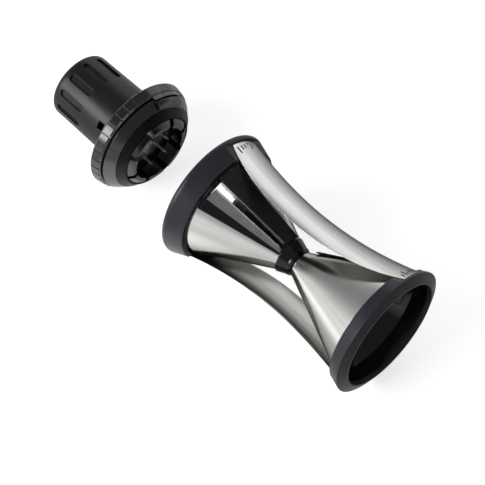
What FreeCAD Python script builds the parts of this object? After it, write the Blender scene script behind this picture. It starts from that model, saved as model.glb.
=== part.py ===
"""Hourglass spiral cutter with its hand-turned food holder.

The cutter lies on its two rims along +X, its axis one rim radius above the floor.
Two funnels meet at the waist, each with a comb, a blade and their carriers, between
two bowed steel panels. The holder stands off the upper rim (-X) on its own leaning axis:
a finger guard that slides along that axis, and a knob with a jaw crown that turns in it.
Lengths are millimetres and angles are degrees. A station is a distance along an axis.
"""
import FreeCAD
import Part
import math
import os
import Sketcher

SIZES = [
    # lying frame
    ("panel_turn", 53.4, "middle of the first panel, turned from +Y towards +Z"),
    # rims and mouths
    ("rim_radius", 38.0, "crest of both rims"),
    ("cutter_half", 64.5, "waist to the lip face of each mouth"),
    ("lip_width", 0.9, "flat lip face round the mouth"),
    ("lip_flare", 0.5, "inner edge of the lip outside the throat"),
    ("crest_setback", 2.6, "lip face back to the crest"),
    ("rim_slope", 0.35, "fall of the rim's outside behind its crest"),
    ("lower_rim_width", 9.5, "lip face to the back edge"),
    ("upper_rim_width", 13.0, "lip face to the back edge"),
    ("lower_rim_round", 0.5, "rounding of the crest"),
    ("upper_rim_round", 2.4, "rounding of the crest"),
    ("lip_overhang", 2.2, "lip face back to the funnel's end"),
    ("seat_gap", 0.05, "between pieces that are glued or clipped together"),
    # steel panels
    ("waist_radius", 27.2, "outside of the panels at the waist"),
    ("panel_sink", 2.2, "a panel's end below the crest of the rim"),
    ("panel_wall", 0.8, "sheet thickness"),
    ("panel_setback", 4.3, "lip face back to a panel's end"),
    ("panel_waist_angle", 32.3, "middle of a panel to its edge at the waist"),
    ("panel_end_angle", 15.2, "middle of a panel to its corner at the end"),
    ("panel_sweep", 100.0, "angle of sheet before its edges are cut"),
    ("panel_seat", 0.2, "panel to the soft rim round its end"),
    # frames inside the rims
    ("frame_wall", 1.0, "thickness of the frame ring"),
    ("frame_lip", 0.5, "frame showing past the rim's back edge"),
    # funnels
    ("tip_radius", 6.6, "outside of the steel cone carried on to the waist plane"),
    ("mouth_length", 10.5, "lip face back to the end of the cone"),
    ("cone_gap", 0.3, "end of the cone to the inside of the frame"),
    ("knee_gap", 0.6, "end of the cone to the start of the frame's straight seat"),
    ("knee_round", 1.4, "end of the cone to the start of the funnel's flange"),
    ("flange_slope", 0.05, "radius the flange gains for each millimetre"),
    ("sleeve_wall", 0.5, "steel cone"),
    ("funnel_wall", 1.6, "plastic cone"),
    ("mouth_wall", 1.3, "thickness of the funnel's straight mouth at its end"),
    ("sleeve_end_gap", 0.4, "sleeve held back from the cone's end"),
    # waist collar
    ("collar_back", 6.5, "waist to the collar's end on the upper side"),
    ("collar_front", 0.9, "waist to the collar's end on the lower side"),
    ("collar_wall", 1.5, "thickness of the collar"),
    ("collar_bead", 1.0, "bead round the collar past that thickness"),
    ("collar_gap", 0.1, "collar to the steel cones' ends"),
    # cutting units
    ("comb_turn", 49.1, "comb plane, turned from the middle of the first panel"),
    ("slot_start", 7.6, "waist to the narrow end of the slot"),
    ("slot_clear", 0.4, "upper frame back to the wide end of the slot"),
    ("slot_sweep", 34.0, "angle of the slot and the blade carrier"),
    ("carrier_gap", 0.4, "angle left between the carrier and the slot's edge"),
    ("bar_wide", 12.7, "comb bar at its wide end"),
    ("bar_narrow", 8.6, "comb bar at its narrow end"),
    ("bar_start", 6.8, "waist to the narrow end of the comb bar"),
    ("bar_height", 2.4, "comb bar above the cone, beside the comb"),
    ("bar_far_height", 0.8, "the same at its other edge"),
    ("bar_lift", 0.15, "comb bar off the steel cone at its ends"),
    ("sleeve_under_bar", 6.0, "angle from the comb to the edge of the steel cone"),
    ("comb_wall", 0.5, "comb plate"),
    ("comb_gap", 0.05, "comb plate to its bar"),
    ("comb_proud", 0.3, "comb plate above its bar"),
    ("tooth_depth", 2.2, "teeth below the funnel's inside"),
    ("tooth_width", 1.4, "root of a tooth"),
    ("tooth_tip", 0.4, "flat point of a tooth"),
    ("comb_inset", 1.4, "comb plate held back from the slot's ends"),
    ("upper_pitch", 5.6, "tooth spacing of the coarse comb"),
    ("lower_pitch", 3.4, "tooth spacing of the fine comb"),
    ("blade_wall", 0.6, "blade"),
    ("blade_depth", 2.8, "underside of the blade below the cone's outside"),
    ("blade_end_gap", 0.3, "blade to the ends of the slot"),
    ("blade_edge_wide", 3.4, "comb plane to the blade's edge at the wide end"),
    ("blade_edge_narrow", 1.3, "the same at the narrow end"),
    ("blade_back_wide", 11.2, "comb plane to the blade's back at the wide end"),
    ("blade_back_narrow", 4.5, "the same at the narrow end"),
    ("blade_bevel", 1.1, "width of the ground edge"),
    # holder: stations are from the guard's rear face, forwards
    ("holder_lean", 2.17, "holder's axis off the cutter's, knob end away from the floor"),
    ("holder_turn", 25.93, "side it leans to, turned from +Y towards +Z; angles start there"),
    ("holder_cross", 119.7, "waist back to where the two axes cross"),
    ("holder_reach", 2.3, "that crossing back to the guard's rear face"),
    ("knob_length", 48.1, "guard's rear face to the knob's closed end"),
    ("knob_radius", 20.2, "knob at the guard"),
    ("knob_end_radius", 19.7, "knob at its closed end"),
    ("knob_round", 3.5, "edge of the closed end"),
    ("knob_wall", 2.2, "thickness of the knob"),
    ("knob_lift", 1.0, "knob off the guard"),
    ("grip_count", 12, "recessed grips round the knob"),
    ("grip_turn", -1.0, "first grip"),
    ("grip_length", 18.0, "length of a grip"),
    ("grip_width", 4.3, "width of a grip"),
    ("grip_depth", 1.2, "depth of a grip"),
    ("grip_setback", 5.3, "closed end to the grips"),
    ("notch_length", 4.0, "latch window in the knob's skirt"),
    ("notch_width", 4.5, "across the window"),
    ("notch_setback", 7.8, "guard's rear face to the window"),
    ("slip_wall", 0.8, "slip ring between knob and guard"),
    ("slip_proud", 0.5, "slip ring past the knob"),
    ("slip_width", 4.5, "slip ring, inside to outside"),
    ("guard_radius", 33.7, "ribbed edge of the guard at its rear"),
    ("guard_front_radius", 32.4, "the same at its front"),
    ("guard_edge", 6.5, "length of the ribbed edge"),
    ("guard_plate", 3.0, "thickness of the guard's plate"),
    ("guard_inner", 29.4, "inside of the guard's rim"),
    ("guard_chamfer", 0.9, "edges of the guard's rim"),
    ("guard_hub", 7.5, "length of the guard's hub behind its plate"),
    ("guard_hub_radius", 11.5, "guard's hub"),
    ("rib_count", 36, "grooves that would go round the whole edge"),
    ("rib_skip", 4, "grooves left out at the latch"),
    ("rib_width", 0.9, "width of a groove"),
    ("rib_depth", 0.7, "depth of a groove"),
    ("rib_turn", 59.5, "first groove"),
    ("collar_reveal", 1.5, "shadow gap between guard and collar"),
    ("guard_collar_radius", 31.2, "collar at its rear"),
    ("guard_collar_nose", 27.0, "collar at its front"),
    ("guard_collar_end", 13.2, "station of the collar's front"),
    ("skirt_radius", 25.4, "skirt inside the collar"),
    ("skirt_flare", 26.4, "skirt in front of the collar"),
    ("skirt_nose", 22.8, "skirt's front edge"),
    ("skirt_end", 17.0, "station of the skirt's front"),
    ("skirt_inner", 22.0, "inside of the skirt"),
    ("latch_turn", 32.0, "middle of the latch"),
    ("latch_sweep", 37.0, "width of the latch"),
    ("latch_radius", 32.2, "outside of the latch"),
    ("latch_nose", 29.4, "outside of the latch at its front"),
    ("latch_groove", 9.4, "station of the groove across the latch"),
    ("latch_groove_size", 0.8, "width and depth of that groove"),
    ("latch_end", 13.0, "station of the latch's front"),
    ("crown_back", 4.7, "station of the jaw crown's rear"),
    ("crown_radius", 21.5, "outside of the jaw crown"),
    ("crown_inner", 16.8, "inside of the jaw crown"),
    ("crown_nose", 19.0, "front edge of the jaws"),
    ("crown_shoulder", 17.1, "station of the jaws' chamfer"),
    ("crown_end", 19.2, "station of the jaws' front"),
    ("crown_floor", 3.0, "thickness of the crown's floor"),
    ("jaw_count", 8, "slots round the crown"),
    ("jaw_turn", 32.4, "first slot"),
    ("jaw_slot", 3.2, "width of a slot"),
    ("jaw_depth", 8.5, "depth of a slot"),
    ("spindle_radius", 3.0, "spindle"),
    ("spindle_tail", 38.0, "spindle's end behind the guard's rear face"),
    ("boss_radius", 6.5, "boss inside the knob"),
    ("boss_front", 14.0, "boss's end behind the guard's rear face"),
    ("bush_radius", 7.0, "outside of the bush"),
    ("bush_flange", 10.0, "flange of the bush"),
    ("bush_flange_wall", 0.8, "thickness of that flange"),
    ("running_gap", 0.05, "spindle in its bush"),
    ("press_gap", 0.02, "pieces pressed together"),
    ("washer_wall", 0.6, "thrust washers"),
    ("washer_radius", 9.0, "outside of the thrust washers"),
    ("plate_radius", 13.0, "spike plate"),
    ("plate_wall", 1.0, "thickness of the spike plate"),
    ("spike_count", 5, "spikes round the plate"),
    ("spike_ring", 9.0, "radius of their circle"),
    ("spike_radius", 0.9, "spike"),
    ("spike_length", 6.5, "straight part of a spike above the plate"),
    ("spike_point", 2.5, "its point"),
    ("screw_radius", 1.6, "plate screw"),
    ("screw_head", 3.4, "head of the plate screw"),
    ("screw_head_wall", 1.6, "thickness of that head"),
    ("screw_length", 9.0, "plate screw below its head"),
    ("screw_cross", 0.9, "width and depth of the cross in its head"),
]

doc = FreeCAD.newDocument("spiral_cutter")
sheet = doc.addObject("Spreadsheet::Sheet", "Sizes")


class Size:
    """A number together with the sheet expression that gives it."""

    def __init__(self, value, text):
        self.value = float(value)
        self.text = text

    def __add__(self, other):
        other = as_size(other)
        return Size(self.value + other.value, f"({self.text} + {other.text})")

    def __sub__(self, other):
        other = as_size(other)
        return Size(self.value - other.value, f"({self.text} - {other.text})")

    def __mul__(self, other):
        other = as_size(other)
        return Size(self.value * other.value, f"({self.text} * {other.text})")

    def __truediv__(self, other):
        other = as_size(other)
        return Size(self.value / other.value, f"({self.text} / {other.text})")

    def __neg__(self):
        return Size(-self.value, f"(0 - {self.text})")

    __radd__ = __add__
    __rmul__ = __mul__

    def __rsub__(self, other):
        return as_size(other) - self

    def __rtruediv__(self, other):
        return as_size(other) / self


def as_size(item):
    return item if isinstance(item, Size) else Size(item, repr(float(item)))


def root(item):
    return Size(math.sqrt(item.value), f"sqrt({item.text})")


def cosine(angle):
    angle = as_size(angle)
    return Size(math.cos(math.radians(angle.value)), f"cos({angle.text})")


def sine(angle):
    angle = as_size(angle)
    return Size(math.sin(math.radians(angle.value)), f"sin({angle.text})")


class Sheet:
    """The driving sizes as attributes, each with its expression."""

    def __init__(self, rows):
        for line, (alias, value, meaning) in enumerate(rows, start=1):
            sheet.set(f"A{line}", meaning)
            sheet.set(f"B{line}", str(value))
            sheet.setAlias(f"B{line}", alias)
            setattr(self, alias, Size(value, f"Sizes.{alias}"))


size = Sheet(SIZES)
size.panel_half = size.cutter_half - size.panel_setback
size.cone_length = size.cutter_half - size.mouth_length
size.slot_end = size.cutter_half - size.upper_rim_width - size.frame_lip - size.slot_clear
doc.recompute()


# ---- sketches and features ----------------------------------------------------------------

def new_body(label):
    body = doc.addObject("PartDesign::Body", label)
    body.Label = label
    return body


def bind(owner, target, item):
    """Tie a property or constraint to the sheet, unless it is a plain number."""
    if "Sizes." in item.text:
        owner.setExpression(target, item.text)


class Arc:
    """A circular edge that starts at a corner of an outline."""

    def __init__(self, centre, radius):
        self.centre = (as_size(centre[0]), as_size(centre[1]))
        self.radius = as_size(radius)


def draw(body, plane, corners, arcs=None, offset=0, rise=0, turn=0):
    """Closed outline on an origin plane; arcs maps a corner's index to the arc leaving it.

    The plane may be set off along its normal, raised along its own Y, or turned about its X.
    """
    arcs = arcs or {}
    offset, rise, turn = as_size(offset), as_size(rise), as_size(turn)
    sketch = body.newObject("Sketcher::SketchObject", "outline")
    role = plane + "_Plane"
    base = next(item for item in body.Origin.OriginFeatures if item.Role == role)
    sketch.AttachmentSupport = [(base, "")]
    sketch.MapMode = "FlatFace"
    sketch.AttachmentOffset = FreeCAD.Placement(
        FreeCAD.Vector(0, rise.value, offset.value),
        FreeCAD.Rotation(FreeCAD.Vector(1, 0, 0), turn.value))
    bind(sketch, "AttachmentOffset.Base.y", rise)
    bind(sketch, "AttachmentOffset.Base.z", offset)
    bind(sketch, "AttachmentOffset.Rotation.Angle", turn)
    points = [(as_size(x), as_size(y)) for x, y in corners]
    count = len(points)
    ends = []
    for index, (start, end) in enumerate(zip(points, points[1:] + points[:1])):
        first = FreeCAD.Vector(start[0].value, start[1].value, 0)
        last = FreeCAD.Vector(end[0].value, end[1].value, 0)
        if index not in arcs:
            sketch.addGeometry(Part.LineSegment(first, last))
            ends.append((1, 2))
            continue
        arc = arcs[index]
        centre = FreeCAD.Vector(arc.centre[0].value, arc.centre[1].value, 0)
        spans = [math.atan2(point.y - centre.y, point.x - centre.x) for point in (first, last)]
        sweep = (spans[1] - spans[0]) % (2 * math.pi)
        forward = sweep < math.pi + 1e-6
        low, high = spans if forward else spans[::-1]
        circle = Part.Circle(centre, FreeCAD.Vector(0, 0, 1), arc.radius.value)
        sketch.addGeometry(Part.ArcOfCircle(circle, low, high))
        ends.append((1, 2) if forward else (2, 1))
    for index in range(count):
        after = (index + 1) % count
        sketch.addConstraint(Sketcher.Constraint(
            "Coincident", index, ends[index][1], after, ends[after][0]))

    def place(kind, geometry, point, item):
        number = sketch.addConstraint(
            Sketcher.Constraint(kind, -1, 1, geometry, point, item.value))
        bind(sketch, f"Constraints[{number}]", item)

    for index, (x, y) in enumerate(points):
        arc = arcs.get(index) or arcs.get((index - 1) % count)
        aside = arc and abs(x.value - arc.centre[0].value) > abs(y.value - arc.centre[1].value)
        if not aside:
            place("DistanceX", index, ends[index][0], x)
        if aside or not arc:
            place("DistanceY", index, ends[index][0], y)
    for index, arc in arcs.items():
        place("DistanceX", index, 3, arc.centre[0])
        place("DistanceY", index, 3, arc.centre[1])
        number = sketch.addConstraint(Sketcher.Constraint("Radius", index, arc.radius.value))
        bind(sketch, f"Constraints[{number}]", arc.radius)
    return sketch


def revolve(body, sketch, angle=360, kind="Revolution"):
    """Turn a half section about the body's X axis; less than a full turn is centred on it."""
    feature = body.newObject("PartDesign::" + kind, "turned")
    feature.Profile = sketch
    feature.ReferenceAxis = (sketch, ["H_Axis"])
    angle = as_size(angle)
    feature.Midplane = angle.value < 360
    feature.Angle = angle.value
    bind(feature, "Angle", angle)
    return feature


def pad(body, sketch, length, kind="Pad", side="One side", reverse=False):
    feature = body.newObject("PartDesign::" + kind, "raised")
    feature.Profile = sketch
    feature.SideType = side
    feature.Reversed = reverse
    if length is None:
        feature.Type = "ThroughAll"
        return feature
    length = as_size(length)
    feature.Length = length.value
    bind(feature, "Length", length)
    return feature


def loft(body, sketches, kind="Additive"):
    feature = body.newObject(f"PartDesign::{kind}Loft", "lofted")
    feature.Profile = sketches[0]
    feature.Sections = sketches[1:]
    feature.Ruled = True
    return feature


def repeat_round(body, feature, count, sweep=None):
    """Polar pattern about the body's X axis."""
    pattern = body.newObject("PartDesign::PolarPattern", "round")
    pattern.Originals = [feature]
    axis = next(item for item in body.Origin.OriginFeatures if item.Role == "X_Axis")
    pattern.Axis = (axis, [""])
    sweep = as_size(360 if sweep is None else sweep)
    pattern.Angle = sweep.value
    bind(pattern, "Angle", sweep)
    pattern.Occurrences = int(count.value)
    bind(pattern, "Occurrences", count)
    body.Tip = pattern
    return pattern


def ring(label, corners, arcs=None, angle=360, turn=0):
    """A body turned from one half section of (station, radius) corners."""
    body = new_body(label)
    revolve(body, draw(body, "XY", corners, arcs, turn=turn), angle)
    return body


# ---- places -------------------------------------------------------------------------------

def turned(angle, axis=(1, 0, 0)):
    return FreeCAD.Placement(FreeCAD.Vector(), FreeCAD.Rotation(FreeCAD.Vector(*axis), angle))


def moved(x, y=0.0, z=0.0):
    return FreeCAD.Placement(FreeCAD.Vector(x, y, z), FreeCAD.Rotation())


def middle_of_whole():
    """Waist ahead of the middle between the knob's far edge and the lower lip."""
    lean = math.radians(size.holder_lean.value)
    rounding = size.knob_round.value
    axis = size.knob_length.value + size.holder_reach.value - rounding
    edge = size.knob_end_radius.value - rounding
    reach = axis * math.cos(lean) + edge * math.sin(lean) + rounding
    return (size.holder_cross.value + reach - size.cutter_half.value) / 2


WAIST = moved(middle_of_whole(), 0, size.rim_radius.value)
TURN_BACK = turned(180, (0, 0, 1))
FIRST_PANEL = WAIST * turned(size.panel_turn.value)
LOWER_UNIT = WAIST * turned(size.panel_turn.value - size.comb_turn.value)
UPPER_UNIT = WAIST * turned(size.panel_turn.value + size.comb_turn.value - 180) * TURN_BACK
HOLDER = (WAIST * moved(-size.holder_cross.value) * turned(size.holder_turn.value)
          * turned(size.holder_lean.value, (0, 0, -1)) * moved(-size.holder_reach.value))


# ---- the hourglass shell ------------------------------------------------------------------

def bulge(rise, station):
    """Radius of the arc that rises this much at a station, flat over the waist."""
    return (station * station + rise * rise) / (rise * 2)


def panel_end_radius():
    return size.rim_radius - size.panel_sink


def bow_radius():
    return bulge(panel_end_radius() - size.waist_radius, size.panel_half)


def shell(station, depth):
    """Radius of the hourglass at a station, a depth below the panels' outside."""
    reach = bow_radius() + depth
    return size.waist_radius + bow_radius() - root(reach * reach - station * station)


def bow(depth):
    return Arc((0, size.waist_radius + bow_radius()), bow_radius() + depth)


def panel_edge(gap):
    """Arc along a panel's two edges, a gap outside them, and its height at a station."""
    waist = size.waist_radius * cosine(size.panel_waist_angle)
    end = panel_end_radius() * cosine(size.panel_end_angle)
    radius = bulge(end - waist, size.panel_half)
    centre = waist + radius
    reach = radius + gap
    return Arc((0, centre), reach), lambda station: centre - root(reach * reach - station * station)


def make_panel(label, place):
    """Bowed sheet, wide over the waist and cut along an arc to its narrow ends."""
    half = size.panel_half
    body = ring(label, [(-half, shell(half, 0)), (half, shell(half, 0)),
                        (half, shell(half, size.panel_wall)),
                        (-half, shell(half, size.panel_wall))],
                {0: bow(0), 2: bow(size.panel_wall)}, size.panel_sweep)
    arc, height = panel_edge(0)
    far = half + size.panel_setback
    window = draw(body, "XY", [(-far, height(far)), (far, height(far)),
                               (far, -size.waist_radius), (-far, -size.waist_radius)], {0: arc})
    pad(body, window, None, "Pocket", "Symmetric")
    body.Placement = place
    return body


def frame_depth():
    return size.panel_wall + size.seat_gap


def make_frame(label, place, rim_width):
    """Plastic ring inside the rim that the panels' ends lie on."""
    start = size.cutter_half - rim_width - size.frame_lip
    end = size.cutter_half - size.lip_overhang
    turn_in = size.cone_length + size.knee_gap
    inside = frame_depth() + size.frame_wall
    body = ring(label, [(start, shell(start, frame_depth())), (end, shell(end, frame_depth())),
                        (end, flange_radius(end) + size.seat_gap),
                        (turn_in, shell(turn_in, inside)), (start, shell(start, inside))],
                {0: bow(frame_depth()), 3: bow(inside)})
    body.Placement = place
    return body


def touch_point(centre, radius, outside):
    """Where the line from an outside corner touches a circle, on its front upper side."""
    along, across = outside[0] - centre[0], outside[1] - centre[1]
    square = along * along + across * across
    near = radius * radius / square
    swing = radius * root(square - radius * radius) / square
    return (centre[0] + near * along - swing * across, centre[1] + near * across + swing * along)


def make_rim(label, place, width, rounding):
    """Soft ring over the frame, open where the panels' ends lie in it."""
    lip = size.cutter_half
    back = lip - width
    floor = lip - size.lip_overhang + size.seat_gap
    hold = frame_depth() - size.seat_gap * 2
    centre = (lip - size.crest_setback, size.rim_radius - rounding)
    slope = root(size.rim_slope * size.rim_slope + 1)
    behind = (centre[0] - rounding * size.rim_slope / slope, centre[1] + rounding / slope)
    mouth = throat_radius() + size.lip_flare
    lip_edge = (lip, mouth + size.lip_width)
    body = ring(label, [(back, shell(back, hold)),
                        (back, behind[1] - size.rim_slope * (behind[0] - back)), behind,
                        touch_point(centre, rounding, lip_edge), lip_edge,
                        (lip, mouth), (floor, throat_radius() + size.seat_gap),
                        (floor, shell(floor, hold))], {2: Arc(centre, rounding)})
    arc, height = panel_edge(size.panel_seat)
    behind_rim = back - size.panel_seat
    beyond = size.rim_radius + size.panel_seat
    seat_end = size.panel_half + size.panel_seat
    for turn in (0, 180):
        seat = draw(body, "XY", [(behind_rim, height(behind_rim)), (seat_end, height(seat_end)),
                                 (seat_end, beyond), (behind_rim, beyond)], {0: arc}, turn=turn)
        pad(body, seat, None, "Pocket", "Symmetric")
    body.Placement = place
    return body


# ---- funnels ------------------------------------------------------------------------------

def cone_slope():
    inside = shell(size.cone_length, frame_depth() + size.frame_wall)
    return (inside - size.cone_gap - size.tip_radius) / size.cone_length


def cone(station, depth=0.0):
    """Radius of the steel cone at a station, less a depth."""
    return size.tip_radius + cone_slope() * station - depth


def flange_radius(station):
    """Outside of the funnel's straight mouth, inside the frame."""
    inside = frame_depth() + size.frame_wall
    start = size.cone_length + size.knee_gap
    return shell(start, inside) - size.seat_gap * 2 + (station - start) * size.flange_slope


def throat_radius():
    """Funnel's inside at its end."""
    return flange_radius(size.cutter_half - size.lip_overhang) - size.mouth_wall


def polar(radius, angle):
    """Corner at a radius and an angle from the comb plane, on the slot's side."""
    return (radius * cosine(angle), -(radius * sine(angle)))


def slot_section(station):
    """Outline of the slot through the wall at a station."""
    inner = cone(station) - size.sleeve_wall - size.funnel_wall * 3
    outer = cone(station) + size.funnel_wall
    side = size.comb_wall * 0.5 + size.comb_gap * 2
    return [(inner, side), (outer, side), polar(outer, size.slot_sweep),
            polar(inner, size.slot_sweep)]


def make_funnel(label, place):
    """Plastic cone with a straight mouth and the slot for its cutting unit."""
    wall = size.sleeve_wall + size.funnel_wall
    end = size.cutter_half - size.lip_overhang
    knee = size.cone_length
    start = size.seat_gap
    body = ring(label, [(start, cone(start, wall)), (knee, cone(knee, wall)),
                        (end, throat_radius()), (end, flange_radius(end)),
                        (knee + size.knee_round, flange_radius(knee + size.knee_round)),
                        (knee, cone(knee, size.sleeve_wall)),
                        (start, cone(start, size.sleeve_wall))])
    ends = [size.slot_start, size.slot_end]
    loft(body, [draw(body, "YZ", slot_section(station), offset=station) for station in ends],
         "Subtractive")
    body.Placement = place
    return body


def make_sleeve(label, place, start):
    """Steel cone round the funnel, open over the cutting unit."""
    end = size.cone_length - size.sleeve_end_gap
    sweep = 360 - size.slot_sweep - size.sleeve_under_bar - size.carrier_gap
    middle = size.sleeve_under_bar + sweep * 0.5
    inner = size.sleeve_wall - size.press_gap
    body = ring(label, [(start, cone(start)), (end, cone(end)),
                        (end, cone(end, inner)), (start, cone(start, inner))],
                angle=sweep, turn=middle)
    body.Placement = place
    return body


# ---- cutting units ------------------------------------------------------------------------

def make_bar(label, place):
    """Tapered flat bar that lies on the cone beside the slot and carries the comb."""
    body = new_body(label)
    side = size.comb_wall * 0.5 + size.comb_gap
    sections = []
    for station, width in ((size.bar_start, size.bar_narrow), (size.slot_end, size.bar_wide)):
        radius = cone(station) + size.bar_lift
        tilt = width * 0.5 / radius
        flat = root(1 - tilt * tilt)
        near = (radius - side * tilt) / flat
        far = (radius - (width + side) * tilt) / flat
        corners = [(near, side), (near + size.bar_height, side),
                   (far + size.bar_far_height, width + side), (far, width + side)]
        sections.append(draw(body, "YZ", corners, offset=station))
    loft(body, sections)
    body.Placement = place
    return body


def slant():
    """Length across the cone's slope for each millimetre square to it."""
    return root(cone_slope() * cone_slope() + 1)


def between(narrow, wide, station):
    """A width that grows evenly from the slot's narrow end to its wide end."""
    return narrow + (wide - narrow) * (station - size.slot_start) / (size.slot_end - size.slot_start)


def blade_back(station):
    return between(size.blade_back_narrow, size.blade_back_wide, station)


def carrier_section(station):
    """Wall behind the slot, cut down to a flat seat under the blade."""
    outer = cone(station)
    inner = cone(station, size.sleeve_wall + size.funnel_wall)
    seat = outer - (size.blade_depth + size.seat_gap) * slant()
    step = blade_back(station) + size.seat_gap * 2
    front = root(inner * inner - seat * seat)
    low = root(inner * inner - step * step)
    end = size.slot_sweep - size.carrier_gap
    return [(seat, -front), (low, -step), polar(inner, end), polar(outer, end),
            (root(outer * outer - step * step), -step), (seat, -step)]


def make_carrier(label, place):
    """Part of the cone behind the slot that holds the blade."""
    body = new_body(label)
    ends = (size.slot_start + size.seat_gap * 2, size.slot_end - size.seat_gap * 2)
    loft(body, [draw(body, "YZ", carrier_section(station), offset=station) for station in ends])
    body.Placement = place
    return body


def blade_section(station):
    """Blade with its ground edge towards the comb."""
    low = cone(station) - size.blade_depth * slant()
    high = low + size.blade_wall * slant()
    edge = between(size.blade_edge_narrow, size.blade_edge_wide, station)
    back = blade_back(station)
    return [(low, -edge), (low, -back), (high, -back), (high, -(edge + size.blade_bevel))]


def make_blade(label, place):
    """Flat tapered blade, ground on its leading edge."""
    body = new_body(label)
    ends = (size.slot_start + size.blade_end_gap, size.slot_end - size.blade_end_gap)
    loft(body, [draw(body, "YZ", blade_section(station), offset=station) for station in ends])
    body.Placement = place
    return body


def along_cone(place):
    """A frame on the comb plane with x up the cone's slope and y square to it."""
    slope = math.degrees(math.atan(cone_slope().value))
    return place * moved(0, size.tip_radius.value) * turned(slope, (0, 0, 1))


def make_comb(label, place, pitch):
    """Thin plate beside the bar with a row of pointed teeth inside the funnel."""
    body = new_body(label)
    start = size.slot_start * slant() + size.comb_inset
    end = size.slot_end * slant() - size.comb_inset
    wall = (size.sleeve_wall + size.funnel_wall) / slant()
    top = (size.bar_height + size.bar_lift) / slant() + size.comb_proud
    spine = draw(body, "XY", [(start, -wall), (end, -wall), (end, top), (start, top)])
    pad(body, spine, size.comb_wall, side="Symmetric")
    first = start + size.tooth_width * 0.5
    bevel = (size.tooth_width - size.tooth_tip) * 0.5
    gum = size.comb_wall - wall
    tip = -wall - size.tooth_depth
    tooth = draw(body, "XY", [(first, gum), (first + bevel, tip),
                              (first + bevel + size.tooth_tip, tip),
                              (first + size.tooth_width, gum)])
    teeth = pad(body, tooth, size.comb_wall, side="Symmetric")
    count = int((end.value - first.value - size.tooth_width.value) / pitch.value) + 1
    row = body.newObject("PartDesign::LinearPattern", "row")
    row.Originals = [teeth]
    row.Direction = (tooth, ["H_Axis"])
    row.Occurrences = count
    row.Length = (count - 1) * pitch.value
    bind(row, "Length", pitch * (count - 1))
    body.Tip = row
    body.Placement = along_cone(place)
    return body


def make_waist_collar():
    """Collar round the tips of both funnels, flaring to the upper one."""
    back, front = -size.collar_back, size.collar_front
    hold = size.sleeve_wall - size.seat_gap
    wall = size.collar_wall
    bead = cone(0, hold) + wall + size.collar_bead
    body = ring("waist_collar", [
        (back, cone(size.collar_back, hold)), (back, cone(size.collar_back, hold) + wall),
        (-front, bead), (0, bead), (front, cone(front, hold) + wall),
        (front, cone(front, hold)), (0, cone(0, hold))])
    body.Placement = WAIST
    return body


# ---- holder -------------------------------------------------------------------------------

def pocket_round(body, corners, turn, width, count, sweep=None):
    """Slots of one width cut at even angles, from a radial outline."""
    outline = draw(body, "XY", corners, turn=turn)
    cut = pad(body, outline, width, "Pocket", "Symmetric")
    return repeat_round(body, cut, count, sweep)


def make_knob():
    """Hollow knob with a closed end, a ring of grips and a boss for the spindle."""
    end = -size.knob_length
    rounded = size.knob_round
    wall = size.knob_wall
    seat = size.spindle_radius + size.press_gap
    bore_end = -size.spindle_tail - size.seat_gap
    body = ring("knob_shell", [
        (end, 0), (end, size.knob_end_radius - rounded), (end + rounded, size.knob_end_radius),
        (-size.knob_lift, size.knob_radius), (-size.knob_lift, size.knob_radius - wall),
        (end + rounded, size.knob_end_radius - wall), (end + wall, size.knob_end_radius - rounded),
        (end + wall, size.boss_radius), (-size.boss_front, size.boss_radius),
        (-size.boss_front, seat), (bore_end, seat), (bore_end, 0)],
        {1: Arc((end + rounded, size.knob_end_radius - rounded), rounded)})
    half = size.notch_width * 0.5
    near = -size.notch_setback
    notch = draw(body, "XY", [(near, -half), (near, half), (near - size.notch_length, half),
                              (near - size.notch_length, -half)], turn=360 / size.grip_count)
    pad(body, notch, None, "Pocket", reverse=True)
    half = size.grip_width * 0.5
    near = end + size.grip_setback + half
    far = near + size.grip_length - size.grip_width
    grip = draw(body, "XY", [(near, -half), (far, -half), (far, half), (near, half)],
                {1: Arc((far, 0), half), 3: Arc((near, 0), half)},
                offset=size.knob_end_radius - size.grip_depth)
    cut = pad(body, grip, size.knob_radius, "Pocket", reverse=True)
    repeat_round(body, cut, size.grip_count)
    body.Placement = HOLDER * turned(size.grip_turn.value)


def make_slip_ring():
    back = -(size.knob_lift + size.slip_wall) * 0.5
    front = back + size.slip_wall
    outer = size.knob_radius + size.slip_proud
    inner = outer - size.slip_width
    body = ring("slip_ring", [(back, inner), (back, outer), (front, outer), (front, inner)])
    body.Placement = HOLDER


def guard_edge_radius(station):
    fall = (size.guard_radius - size.guard_front_radius) / size.guard_edge
    return size.guard_radius - fall * station


def make_guard_ring():
    """Finger guard: a plate with a hub, and an edge grooved for grip beside the latch."""
    bore = size.bush_radius + size.press_gap
    plate, edge, chamfer = size.guard_plate, size.guard_edge, size.guard_chamfer
    body = ring("guard_ring", [
        (-size.guard_hub, bore), (-size.guard_hub, size.guard_hub_radius),
        (0, size.guard_hub_radius), (0, guard_edge_radius(0) - chamfer),
        (chamfer, guard_edge_radius(chamfer)), (edge - chamfer, guard_edge_radius(edge - chamfer)),
        (edge, guard_edge_radius(edge) - chamfer), (edge, size.guard_inner),
        (plate, size.guard_inner), (plate, bore)])
    beyond = edge + 1
    bed = size.rib_depth
    count = size.rib_count - size.rib_skip
    pocket_round(body, [(-1, guard_edge_radius(-1) - bed), (-1, size.guard_radius + 2),
                        (beyond, size.guard_radius + 2), (beyond, guard_edge_radius(beyond) - bed)],
                 size.rib_turn, size.rib_width, count, 360 * (count - 1) / size.rib_count)
    body.Placement = HOLDER


def collar_start():
    return size.guard_edge + size.collar_reveal


def collar_radius(station):
    fall = (size.guard_collar_radius - size.guard_collar_nose) / (size.guard_collar_end
                                                                  - collar_start())
    return size.guard_collar_radius - fall * (station - collar_start())


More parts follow.
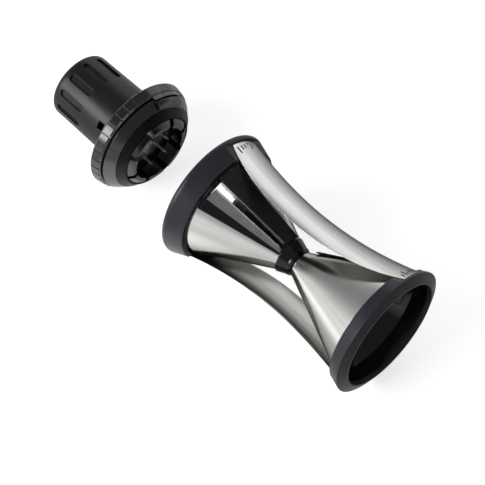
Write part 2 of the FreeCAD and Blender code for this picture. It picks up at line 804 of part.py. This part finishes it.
def make_guard_collar():
    """Tapered collar that plugs into the guard's rim."""
    back = size.guard_plate + size.seat_gap
    front = size.guard_collar_end
    bore = size.skirt_radius + size.seat_gap
    neck = size.guard_inner - size.seat_gap
    body = ring("guard_collar", [
        (back, bore), (back, neck), (collar_start(), neck),
        (collar_start(), size.guard_collar_radius), (front, size.guard_collar_nose),
        (front, bore)])
    body.Placement = HOLDER


def make_guard_skirt():
    """Sleeve inside the collar that shields the jaw crown."""
    back = size.guard_plate + size.seat_gap
    step = size.guard_collar_end + size.seat_gap
    body = ring("guard_skirt", [
        (back, size.skirt_inner), (back, size.skirt_radius), (step, size.skirt_radius),
        (step, size.skirt_flare), (size.skirt_end, size.skirt_nose),
        (size.skirt_end, size.skirt_inner)])
    body.Placement = HOLDER


def make_guard_latch():
    """Stepped latch block over part of the collar."""
    gap = size.seat_gap
    back = size.guard_edge + gap
    end = size.latch_end
    groove = size.latch_groove
    bite = size.latch_groove_size
    body = ring("guard_latch", [
        (back, size.guard_collar_radius + gap), (back, size.latch_radius),
        (groove, size.latch_radius), (groove, size.latch_radius - bite * 2),
        (groove + bite, size.latch_radius - bite * 2), (groove + bite, size.latch_radius - bite),
        (end - bite, size.latch_nose + bite), (end, size.latch_nose),
        (end, collar_radius(end) + gap * 2), (collar_start(), size.guard_collar_radius + gap)],
        angle=size.latch_sweep, turn=size.latch_turn)
    body.Placement = HOLDER


def make_jaw_crown():
    """Cup with slotted jaws that grips the food."""
    back, end = size.crown_back, size.crown_end
    floor = back + size.crown_floor
    bore = size.spindle_radius + size.press_gap
    body = ring("jaw_crown", [
        (back, bore), (back, size.crown_radius), (size.crown_shoulder, size.crown_radius),
        (end, size.crown_nose), (end, size.crown_inner), (floor, size.crown_inner),
        (floor, bore)])
    low = end - size.jaw_depth
    pocket_round(body, [(low, size.crown_inner - 1), (end + 1, size.crown_inner - 1),
                        (end + 1, size.crown_radius + 1), (low, size.crown_radius + 1)],
                 size.jaw_turn, size.jaw_slot, size.jaw_count)
    body.Placement = HOLDER


def make_spindle():
    """Shaft from the knob's boss to the crown, tapped for the plate screw."""
    back = -size.spindle_tail
    front = size.crown_back + size.crown_floor
    bore = size.screw_radius + size.press_gap
    bore_end = front - size.screw_length
    body = ring("spindle", [(back, 0), (back, size.spindle_radius), (front, size.spindle_radius),
                            (front, bore), (bore_end, bore), (bore_end, 0)])
    body.Placement = HOLDER


def make_bush():
    """Flanged plain bearing in the guard's hub."""
    back = -size.guard_hub
    step = size.guard_plate + size.seat_gap
    front = step + size.bush_flange_wall
    bore = size.spindle_radius + size.running_gap
    body = ring("spindle_bush", [(back, bore), (back, size.bush_radius), (step, size.bush_radius),
                                 (step, size.bush_flange), (front, size.bush_flange),
                                 (front, bore)])
    body.Placement = HOLDER


def make_washers():
    """Thrust washers at both ends of the bush."""
    body = new_body("thrust_washers")
    body.AllowCompound = True
    bore = size.spindle_radius + size.running_gap
    front = size.crown_back - size.seat_gap
    rear = -size.guard_hub - size.seat_gap
    for start, end in ((front - size.washer_wall, front), (rear - size.washer_wall, rear)):
        revolve(body, draw(body, "XY", [(start, bore), (start, size.washer_radius),
                                        (end, size.washer_radius), (end, bore)]))
    body.Placement = HOLDER


def plate_back():
    return size.crown_back + size.crown_floor + size.seat_gap


def make_spike_plate():
    back, front = plate_back(), plate_back() + size.plate_wall
    bore = size.screw_radius + size.press_gap
    body = ring("spike_plate", [(back, bore), (back, size.plate_radius),
                                (front, size.plate_radius), (front, bore)])
    reach = size.spike_radius + size.press_gap
    hole = draw(body, "XY", [(back - 1, 0), (back - 1, reach), (front + 1, reach), (front + 1, 0)],
                rise=size.spike_ring)
    cut = revolve(body, hole, kind="Groove")
    repeat_round(body, cut, size.spike_count)
    body.Placement = HOLDER


def make_spikes():
    """Pointed pins round the plate."""
    body = new_body("spikes")
    body.AllowCompound = True
    back = plate_back()
    shoulder = back + size.plate_wall + size.spike_length
    pin = draw(body, "XY", [(back, 0), (back, size.spike_radius), (shoulder, size.spike_radius),
                            (shoulder + size.spike_point, size.spike_radius * 0.15),
                            (shoulder + size.spike_point, 0)], rise=size.spike_ring)
    repeat_round(body, revolve(body, pin), size.spike_count)
    body.Placement = HOLDER


def make_plate_screw():
    """Screw through the plate and crown into the spindle."""
    head = plate_back() + size.plate_wall + size.seat_gap
    top = head + size.screw_head_wall
    back = size.crown_back + size.crown_floor - size.screw_length + size.seat_gap
    body = ring("plate_screw", [(back, 0), (back, size.screw_radius), (head, size.screw_radius),
                                (head, size.screw_head), (top - 0.5, size.screw_head),
                                (top, size.screw_head - 0.6), (top, 0)])
    reach = size.screw_head * 0.65
    cross = [(top - size.screw_cross, -reach), (top - size.screw_cross, reach),
             (top + 1, reach), (top + 1, -reach)]
    pocket_round(body, cross, 0, size.screw_cross, Size(2, "2"), 90)
    body.Placement = HOLDER


make_panel("panel_top", FIRST_PANEL)
make_panel("panel_bottom", FIRST_PANEL * turned(180))
make_frame("upper_frame", FIRST_PANEL * TURN_BACK, size.upper_rim_width)
make_frame("lower_frame", FIRST_PANEL, size.lower_rim_width)
make_rim("upper_rim", FIRST_PANEL * TURN_BACK, size.upper_rim_width, size.upper_rim_round)
make_rim("lower_rim", FIRST_PANEL, size.lower_rim_width, size.lower_rim_round)
for side, unit, collar_end, pitch in (
        ("upper", UPPER_UNIT, size.collar_back, size.upper_pitch),
        ("lower", LOWER_UNIT, size.collar_front, size.lower_pitch)):
    make_funnel(side + "_funnel", unit)
    make_sleeve(side + "_cone_sleeve", unit, collar_end + size.collar_gap)
    make_bar(side + "_comb_bar", unit)
    make_comb(side + "_comb", unit, pitch)
    make_carrier(side + "_blade_carrier", unit)
    make_blade(side + "_blade", unit)
make_waist_collar()
make_knob()
make_slip_ring()
make_guard_ring()
make_guard_collar()
make_guard_skirt()
make_guard_latch()
make_jaw_crown()
make_spindle()
make_bush()
make_washers()
make_spike_plate()
make_spikes()
make_plate_screw()
doc.recompute()

os.makedirs("parts", exist_ok=True)
failed = [item.Label for item in doc.Objects if {"Invalid", "Error"} & set(item.State)]
if failed:
    raise RuntimeError("failed objects: " + ", ".join(failed))
for body in [item for item in doc.Objects if item.TypeId == "PartDesign::Body"]:
    if body.Shape.isNull() or not body.Shape.isValid():
        raise RuntimeError("bad shape: " + body.Label)
    body.Shape.exportStep(f"parts/{body.Label}.step")
    print(body.Label, len(body.Shape.Solids), round(body.Shape.Volume, 1))
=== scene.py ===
"""Looks of the hourglass spiral cutter: finishes, printed marks, stage, lights and camera."""

import math

import bpy
from mathutils import Matrix, Vector


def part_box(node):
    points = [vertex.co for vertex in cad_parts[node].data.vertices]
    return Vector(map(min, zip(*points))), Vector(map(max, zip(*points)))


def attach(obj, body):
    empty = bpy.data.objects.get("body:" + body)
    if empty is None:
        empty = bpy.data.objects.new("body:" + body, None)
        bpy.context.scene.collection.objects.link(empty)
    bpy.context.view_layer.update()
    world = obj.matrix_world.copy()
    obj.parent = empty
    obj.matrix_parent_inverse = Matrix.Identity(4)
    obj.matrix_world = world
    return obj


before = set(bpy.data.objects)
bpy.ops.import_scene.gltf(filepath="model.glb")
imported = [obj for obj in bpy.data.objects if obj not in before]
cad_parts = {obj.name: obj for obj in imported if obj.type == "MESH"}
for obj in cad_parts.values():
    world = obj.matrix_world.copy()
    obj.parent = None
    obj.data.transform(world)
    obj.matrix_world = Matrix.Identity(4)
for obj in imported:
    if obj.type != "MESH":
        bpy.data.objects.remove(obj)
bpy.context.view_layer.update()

MM = 0.001

# Sizes of the cutter, in millimetres, as in its construction.
RIM_RADIUS = 38.0
CUTTER_HALF = 64.5
WAIST_RADIUS = 27.2
BOW_RADIUS = 215.01
WAIST_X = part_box("lower_rim")[1][0] / MM - CUTTER_HALF
HOLDER_TURN = 25.93  # degrees round the axis to the side the holder leans to
MIDDLE = (0, 0, RIM_RADIUS * MM)  # of the whole object, in metres


# ---- nodes --------------------------------------------------------------------------------

class Nodes:
    """A node tree, with short calls for the nodes that are used here."""

    def __init__(self, tree):
        self.tree = tree

    def add(self, kind, **settings):
        node = self.tree.nodes.new("ShaderNode" + kind)
        for key, value in settings.items():
            setattr(node, key, value)
        return node

    def feed(self, target, value):
        """Give an input the output of another node, or a plain value."""
        if isinstance(value, bpy.types.NodeSocket):
            self.tree.links.new(value, target)
        else:
            target.default_value = value

    def math(self, operation, *values):
        node = self.add("Math", operation=operation)
        for target, value in zip(node.inputs, values):
            self.feed(target, value)
        return node.outputs["Value"]

    def vector_math(self, operation, first, second, output="Vector"):
        node = self.add("VectorMath", operation=operation)
        self.feed(node.inputs[0], first)
        self.feed(node.inputs[1], second)
        return node.outputs[output]

    def parts(self, vector):
        """The X, Y and Z of a vector."""
        node = self.add("SeparateXYZ")
        self.feed(node.inputs["Vector"], vector)
        return node.outputs

    def here(self, output="Object"):
        """The surface's own place, in metres, or another of its coordinates."""
        return self.add("TexCoord").outputs[output]

    def place(self, stretch=(1, 1, 1)):
        """The surface's own place, stretched."""
        mapping = self.add("Mapping")
        self.feed(mapping.inputs["Scale"], stretch)
        self.feed(mapping.inputs["Vector"], self.here())
        return mapping.outputs["Vector"]

    def noise(self, vector, scale, detail, roughness=0.55):
        node = self.add("TexNoise")
        self.feed(node.inputs["Scale"], scale)
        self.feed(node.inputs["Detail"], detail)
        self.feed(node.inputs["Roughness"], roughness)
        self.feed(node.inputs["Vector"], vector)
        return node.outputs["Fac"]

    def span(self, value, low, high, start=0.3, end=0.7):
        """From low to high as the value goes from start to end, between which noise lies."""
        node = self.add("MapRange")
        self.feed(node.inputs["From Min"], start)
        self.feed(node.inputs["From Max"], end)
        self.feed(node.inputs["To Min"], low)
        self.feed(node.inputs["To Max"], high)
        self.feed(node.inputs["Value"], value)
        return node.outputs["Result"]

    def blend(self, value, first, second):
        """From the first colour to the second as the value goes from 0 to 1."""
        node = self.add("Mix", data_type="RGBA")
        self.feed(node.inputs["Factor"], value)
        for name, colour in (("A", first), ("B", second)):
            plain = isinstance(colour, tuple)
            self.feed(node.inputs[name], (*colour, 1) if plain else colour)
        return node.outputs["Result"]


class Finish(Nodes):
    """A new material, whose shader is filled in by name."""

    def __init__(self, name):
        self.material = bpy.data.materials.new(name)
        self.material.use_nodes = True
        super().__init__(self.material.node_tree)
        self.shader = self.tree.nodes["Principled BSDF"]

    def set(self, **values):
        for key, value in values.items():
            self.feed(self.shader.inputs[key.replace("_", " ")], value)

    def relief(self, heights, edge):
        """Fine bumps, given as (height, strength, distance), over softened edges."""
        soft = self.add("Bevel", samples=6)
        self.feed(soft.inputs["Radius"], edge)
        normal = soft.outputs["Normal"]
        for height, strength, distance in heights:
            bump = self.add("Bump")
            self.feed(bump.inputs["Strength"], strength)
            self.feed(bump.inputs["Distance"], distance)
            self.feed(bump.inputs["Height"], height)
            self.feed(bump.inputs["Normal"], normal)
            normal = bump.outputs["Normal"]
        self.set(Normal=normal)


# ---- finishes -----------------------------------------------------------------------------

EDGE_TINT = (0.18, 0.18, 0.18, 1)  # satin steel seen at a glancing angle
STEEL_CLOUDED = 0.93  # share of the tint where satin steel is darkest
STEEL_SMUDGED = 0.02  # roughness that its smudges add
BRUSH_SCALE = 4000  # brushing marks in a metre along the axis
BRUSH_DRAW = 0.0006  # metres that a radian round the axis counts for in them
INWARD_BLEND = 3  # mm from the axis, times the outward slope, on either side of the change to painted shade
ALONG_BLEND = (0.55, 0.75)  # slope along the axis where the painted shade on front faces starts and is full
PLASTIC_UNEVEN = 0.06  # roughness that the flow marks of plastic add
PLASTIC_GRAINED = 0.05  # roughness that its grain adds
GROUND_STAINED = 0.85  # share of the tint where ground steel is darkest
GROUND_SCRATCHED = 0.12  # roughness that its scratches add


def axis_frame(nodes):
    """Place round the cutter's axis, as length along it and angle about it."""
    where = nodes.parts(nodes.here())
    height = nodes.math("SUBTRACT", where["Z"], RIM_RADIUS * MM)
    return where["X"], nodes.math("ARCTAN2", height, where["Y"])


def faces_inwards(nodes):
    """1 where a surface faces the cutter's axis and 0 where it faces away from it."""
    from_middle = nodes.vector_math("SUBTRACT", nodes.here(), MIDDLE)
    outwards = nodes.vector_math("MULTIPLY", from_middle, (0, 1 / MM, 1 / MM))
    facing = nodes.vector_math("DOT_PRODUCT", outwards, nodes.here("Normal"), "Value")
    return nodes.span(facing, 1, 0, -INWARD_BLEND, INWARD_BLEND)


def faces_along(nodes):
    """1 where a surface faces along the cutter's axis and 0 where it faces sideways."""
    slope = nodes.math("ABSOLUTE", nodes.parts(nodes.here("Normal"))["X"])
    return nodes.span(slope, 0, 1, *ALONG_BLEND)


def satin_steel(name, tint, gloss, brushed, shaded_inside=None):
    """Steel sheet with fine brushing round the axis, faint clouding and soft smudges, and
    painted shade on faces turned to the axis when a colour for it is given.
    """
    steel = Finish(name)
    along, angle = axis_frame(steel)
    rings = steel.add("CombineXYZ")
    steel.feed(rings.inputs["X"], along)
    steel.feed(rings.inputs["Y"], steel.math("MULTIPLY", angle, BRUSH_DRAW))
    brushing = steel.noise(rings.outputs["Vector"], BRUSH_SCALE, detail=3)
    clouds = steel.noise(steel.place(), scale=45, detail=2)
    smudges = steel.noise(steel.place((1, 1, 2.5)), scale=120, detail=5, roughness=0.6)
    dark = tuple(part * STEEL_CLOUDED for part in tint)
    shade = steel.blend(steel.span(clouds, 0, 1), tint, dark)
    # Painted shade: faces turned towards the axis take a darker colour, standing in for the
    # shade between the panels and the cones.
    if shaded_inside:
        shade = steel.blend(faces_inwards(steel), shade, shaded_inside)
    smudged = steel.span(smudges, gloss, gloss + STEEL_SMUDGED)
    rough = steel.math("ADD", smudged, steel.span(brushing, 0, brushed))
    steel.set(Base_Color=shade, Roughness=rough, Metallic=1.0, Specular_Tint=EDGE_TINT)
    steel.relief([(brushing, 0.035, 0.02 * MM), (clouds, 0.02, 0.2 * MM)], edge=0.15 * MM)
    return steel.material


def moulded(name, colour, gloss, grain, edge=0.3, sheen=0.5, shaded_lip=None):
    """Moulded plastic or rubber: fine grain, uneven gloss, a slight drift of colour, and
    painted shade on faces that look along the axis when a colour for it is given.

    The edge is the radius, in mm, over which its corners look rounded.
    """
    plastic = Finish(name)
    fine = plastic.noise(plastic.place(), scale=5200, detail=2)
    flow = plastic.noise(plastic.place((1, 1.6, 1)), scale=60, detail=3)
    light = tuple(min(part * 1.18 + 0.001, 1) for part in colour)
    shade = plastic.blend(plastic.span(flow, 0, 1), colour, light)
    # Painted shade: faces that look along the axis, such as the rims' front faces, take a
    # near-black colour standing in for shade.
    if shaded_lip:
        shade = plastic.blend(faces_along(plastic), shade, shaded_lip)
    uneven = plastic.span(flow, gloss, gloss + PLASTIC_UNEVEN)
    rough = plastic.math("ADD", uneven, plastic.span(fine, 0, PLASTIC_GRAINED))
    plastic.set(Base_Color=shade, Roughness=rough, Specular_IOR_Level=sheen)
    plastic.relief([(fine, grain, 0.03 * MM), (flow, 0.02, 0.3 * MM)], edge * MM)
    return plastic.material


def ground_steel(name, tint, gloss):
    """Ground or turned steel of blades, pins and spikes, with fine straight scratches."""
    steel = Finish(name)
    scratches = steel.noise(steel.place((1, 14, 14)), scale=900, detail=3)
    stains = steel.noise(steel.place(), scale=220, detail=2)
    dark = tuple(part * GROUND_STAINED for part in tint)
    shade = steel.blend(steel.span(stains, 0, 1), tint, dark)
    rough = steel.span(scratches, gloss, gloss + GROUND_SCRATCHED)
    steel.set(Base_Color=shade, Roughness=rough, Metallic=1.0)
    steel.relief([(scratches, 0.12, 0.02 * MM)], edge=0.12 * MM)
    return steel.material


# Painted shade: the panels are darker on the faces turned towards the axis.
PANEL = satin_steel("satin_steel", (0.84, 0.835, 0.82), gloss=0.23, brushed=0.025,
                    shaded_inside=(0.55, 0.54, 0.52))
CONE = satin_steel("cone_steel", (0.8, 0.79, 0.77), gloss=0.15, brushed=0.05)
BLADE = ground_steel("blade_steel", (0.66, 0.67, 0.68), gloss=0.2)
PIN = ground_steel("pin_steel", (0.6, 0.6, 0.61), gloss=0.24)
# Painted shade: the rims' front faces are near black, darker than the band.
RIM = moulded("rim_rubber", (0.019, 0.0215, 0.0275), gloss=0.26, grain=0.2, edge=0.5,
              sheen=0.3, shaded_lip=(0.001, 0.0011, 0.0014))
FRAME = moulded("black_plastic", (0.003, 0.003, 0.004), gloss=0.06, grain=0.02)
BAR = moulded("bar_plastic", (0.005, 0.005, 0.007), gloss=0.3, grain=0.1)
KNOB = moulded("knob_plastic", (0.006, 0.0063, 0.0075), gloss=0.3, grain=0.2, edge=0.4,
               sheen=0.4)
GUARD = moulded("guard_plastic", (0.004, 0.0043, 0.0053), gloss=0.12, grain=0.08, sheen=0.9)
SKIRT = moulded("skirt_plastic", (0.002, 0.002, 0.0025), gloss=0.3, grain=0.1, sheen=0.15)
BUSH = moulded("bush_plastic", (0.7, 0.69, 0.64), gloss=0.4, grain=0.1)
INK = moulded("mark_ink", (0.012, 0.012, 0.013), gloss=0.5, grain=0.1)

DRESSED = [
    (PANEL, ["panel_top", "panel_bottom"]),
    (CONE, ["upper_cone_sleeve", "lower_cone_sleeve"]),
    (BLADE, ["upper_blade", "lower_blade", "upper_comb", "lower_comb"]),
    (PIN, ["spindle", "thrust_washers", "spike_plate", "spikes", "plate_screw"]),
    (RIM, ["upper_rim", "lower_rim"]),
    (FRAME, ["upper_frame", "lower_frame", "upper_funnel", "lower_funnel",
             "upper_blade_carrier", "lower_blade_carrier", "waist_collar"]),
    (BAR, ["upper_comb_bar", "lower_comb_bar"]),
    (KNOB, ["knob_shell", "slip_ring"]),
    (GUARD, ["guard_ring", "guard_collar", "guard_latch", "jaw_crown"]),
    (SKIRT, ["guard_skirt"]),
    (BUSH, ["spindle_bush"]),
]
for finish, names in DRESSED:
    for name in names:
        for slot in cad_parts[name].material_slots:
            slot.material = finish


# ---- printed marks ------------------------------------------------------------------------

# Strokes of the scales at the coarse and the fine end, each as the stations along the axis
# where it starts and ends, in mm from the waist, and its angle in degrees round the axis
# from the side the holder leans to.
COARSE = [(-58.4, -54.1, 39.6), (-58.4, -55.7, 34.8), (-58.5, -56.1, 30.6),
          (-59.3, -57.7, 25.2), (-59.2, -55.1, 21.5), (-59.5, -57.1, 16.6)]
FINE = [(55.6, 58.2, 38.8), (53.8, 57.9, 34.4), (56.1, 57.8, 31.5),
        (54.7, 57.4, 26.7), (53.9, 57.0, 22.5), (55.3, 57.2, 18.6)]
COARSE_WIDTH = 0.95
FINE_WIDTH = 1.0
MARK_LIFT = 0.05  # mm off the panel
MARK_FACES = 4  # along each stroke, to follow the panel's bow


def panel_radius(station):
    """Outside of a steel panel at a distance from the waist."""
    return WAIST_RADIUS + BOW_RADIUS - math.sqrt(BOW_RADIUS ** 2 - station ** 2)


def on_panel(station, angle):
    """A point just off a panel's outside, in metres."""
    turn = math.radians(angle + HOLDER_TURN)
    radius = panel_radius(station) + MARK_LIFT
    return Vector((WAIST_X + station, radius * math.cos(turn),
                   RIM_RADIUS + radius * math.sin(turn))) * MM


def printed_marks(name, marks, width):
    """One piece of short printed strokes along a panel."""
    points, faces = [], []
    for start, end, angle in marks:
        for part in range(MARK_FACES):
            for reached in (part, part + 1):
                station = start + (end - start) * reached / MARK_FACES
                half = math.degrees(width / 2 / panel_radius(station))
                points += [on_panel(station, angle - half), on_panel(station, angle + half)]
            count = len(points)
            faces.append((count - 4, count - 3, count - 1, count - 2))
    mesh = bpy.data.meshes.new(name)
    mesh.from_pydata(points, [], faces)
    mesh.materials.append(INK)
    piece = bpy.data.objects.new(name, mesh)
    bpy.context.collection.objects.link(piece)
    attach(piece, "cutter")


for side, turn in (("top", 0), ("bottom", 180)):
    for scale, marks, width in (("coarse_marks_", COARSE, COARSE_WIDTH),
                                ("fine_marks_", FINE, FINE_WIDTH)):
        printed_marks(scale + side, [(start, end, angle + turn) for start, end, angle in marks],
                      width)


# ---- stage, lights and camera -------------------------------------------------------------

FLOOR_HALF = 3.0  # metres
FLOOR_DROP = 0.0004  # metres under the object, so that nothing lies in the floor's plane
FLOOR_MATT = (0.85, 0.85, 0.85, 1)
FLOOR_WHITE = 0.6  # what lifts the lit floor to white in the picture
FLOOR_SHEEN = 0.75  # painted reflection: a patch of the floor glows this much in polished surfaces only
PATCH_PLACE = (-0.04, -0.075, 0)
PATCH_FADE = (0.03, 0.08)  # metres from the patch's middle where it fades, and ends

ROOM_LIGHT = 0.38  # of the room on matt surfaces
SWEEP_HEIGHT = (0.0, 0.38)  # of a direction, where the pale sweep starts to fade, and ends
SWEEP_SHEEN = (0.95, 0.2)  # how bright polished surfaces see the room there

SOFTBOXES = [  # name, place and size in metres, power in watts
    ("front", (-0.4, -0.9, 0.58), (0.9, 0.5), 10.0),
    ("back", (-0.45, 1.0, 0.62), (1.3, 0.6), 1.9),
    ("side", (1.0, -0.1, 0.35), (0.5, 0.4), 0.6),
]

# The photograph's camera: its direction, its lens, and its place from a point on the axis
# near the fine mouth, in mm to the right, up and back.
AZIMUTH = math.radians(43.991)
ELEVATION = math.radians(55.919)
ROLL = math.radians(0.098)
FOCAL_PIXELS = 1862.306
PHOTO_PIXELS = 485
SENSOR_WIDTH = 36.0
CLIP_END = 20
CAMERA_STATION = 61.9  # of that point, in mm from the waist
CAMERA_OFFSET = (-73.582, 45.742, 950)


def studio_floor():
    """Pale floor that takes the object's shadow and is white where nothing shades it."""
    mesh = bpy.data.meshes.new("floor")
    corners = [(-1, -1), (1, -1), (1, 1), (-1, 1)]
    mesh.from_pydata([(x * FLOOR_HALF, y * FLOOR_HALF, -FLOOR_DROP) for x, y in corners],
                     [], [(0, 1, 2, 3)])
    floor = bpy.data.objects.new("floor", mesh)
    bpy.context.collection.objects.link(floor)

    nodes = Finish("floor_white")
    rays = nodes.add("LightPath").outputs
    seen = nodes.math("MAXIMUM", rays["Is Camera Ray"], rays["Is Transmission Ray"])
    white = nodes.math("MULTIPLY", seen, FLOOR_WHITE)
    # Painted reflection: a patch of the floor glows only for glossy rays, giving the lower cone
    # its bright band.
    away = nodes.vector_math("DISTANCE", nodes.here(), PATCH_PLACE, "Value")
    patch = nodes.span(away, FLOOR_SHEEN, 0, *PATCH_FADE)
    lit = nodes.math("MULTIPLY_ADD", rays["Is Glossy Ray"], patch, white)
    glow = nodes.add("Emission")
    nodes.feed(glow.inputs["Strength"], lit)
    matt = nodes.add("BsdfDiffuse")
    nodes.feed(matt.inputs["Color"], FLOOR_MATT)
    both = nodes.add("AddShader")
    nodes.feed(both.inputs[0], matt.outputs["BSDF"])
    nodes.feed(both.inputs[1], glow.outputs["Emission"])
    nodes.feed(nodes.tree.nodes["Material Output"].inputs["Surface"], both.outputs["Shader"])
    mesh.materials.append(nodes.material)


def studio_world():
    """Room round the table: even on matt surfaces, and a pale sweep in polished ones."""
    world = bpy.data.worlds.new("studio")
    world.use_nodes = True
    bpy.context.scene.world = world
    nodes = Nodes(world.node_tree)
    rays = nodes.add("LightPath").outputs

    def swap(level, ray, other):
        """The level, or another one for one kind of ray."""
        node = nodes.add("Mix")
        nodes.feed(node.inputs["Factor"], rays[ray])
        nodes.feed(node.inputs["A"], level)
        nodes.feed(node.inputs["B"], other)
        return node.outputs["Result"]

    sweep = nodes.span(nodes.parts(nodes.here("Generated"))["Z"], *SWEEP_SHEEN, *SWEEP_HEIGHT)
    level = swap(ROOM_LIGHT, "Is Glossy Ray", sweep)
    level = swap(level, "Is Camera Ray", 1.0)
    level = swap(level, "Is Transmission Ray", 1.0)
    background = nodes.tree.nodes["Background"]
    nodes.feed(background.inputs["Strength"], level)
    nodes.feed(background.inputs["Color"], (1, 1, 1, 1))


def softbox(name, place, size, power):
    """Rectangular area lamp that looks at the object's middle."""
    lamp = bpy.data.lights.new(name, "AREA")
    lamp.shape = "RECTANGLE"
    lamp.size, lamp.size_y = size
    lamp.energy = power
    holder = bpy.data.objects.new(name, lamp)
    bpy.context.collection.objects.link(holder)
    holder.location = place
    aim = Vector(MIDDLE) - Vector(place)
    holder.rotation_euler = aim.to_track_quat("-Z", "Y").to_euler()


def photo_camera():
    """Camera over the fine mouth's side, where the photograph was taken from."""
    back = Vector((math.sin(AZIMUTH) * math.cos(ELEVATION),
                   -math.cos(AZIMUTH) * math.cos(ELEVATION), math.sin(ELEVATION)))
    right = Vector((math.cos(AZIMUTH), math.sin(AZIMUTH), 0))
    up = back.cross(right)
    camera = bpy.data.cameras.new("camera")
    camera.sensor_width = SENSOR_WIDTH
    camera.lens = FOCAL_PIXELS * SENSOR_WIDTH / PHOTO_PIXELS
    camera.clip_end = CLIP_END
    holder = bpy.data.objects.new("camera", camera)
    bpy.context.collection.objects.link(holder)
    place = Vector((WAIST_X + CAMERA_STATION, 0, RIM_RADIUS))
    for direction, distance in zip((right, up, back), CAMERA_OFFSET):
        place += distance * direction
    axes = Matrix((right, up, back)).transposed().to_4x4()
    turn = Matrix.Rotation(ROLL, 4, "Z")
    holder.matrix_world = Matrix.Translation(place * MM) @ axes @ turn
    bpy.context.scene.camera = holder


studio_floor()
studio_world()
for box in SOFTBOXES:
    softbox(*box)
photo_camera()
bpy.context.scene.view_settings.view_transform = "Standard"
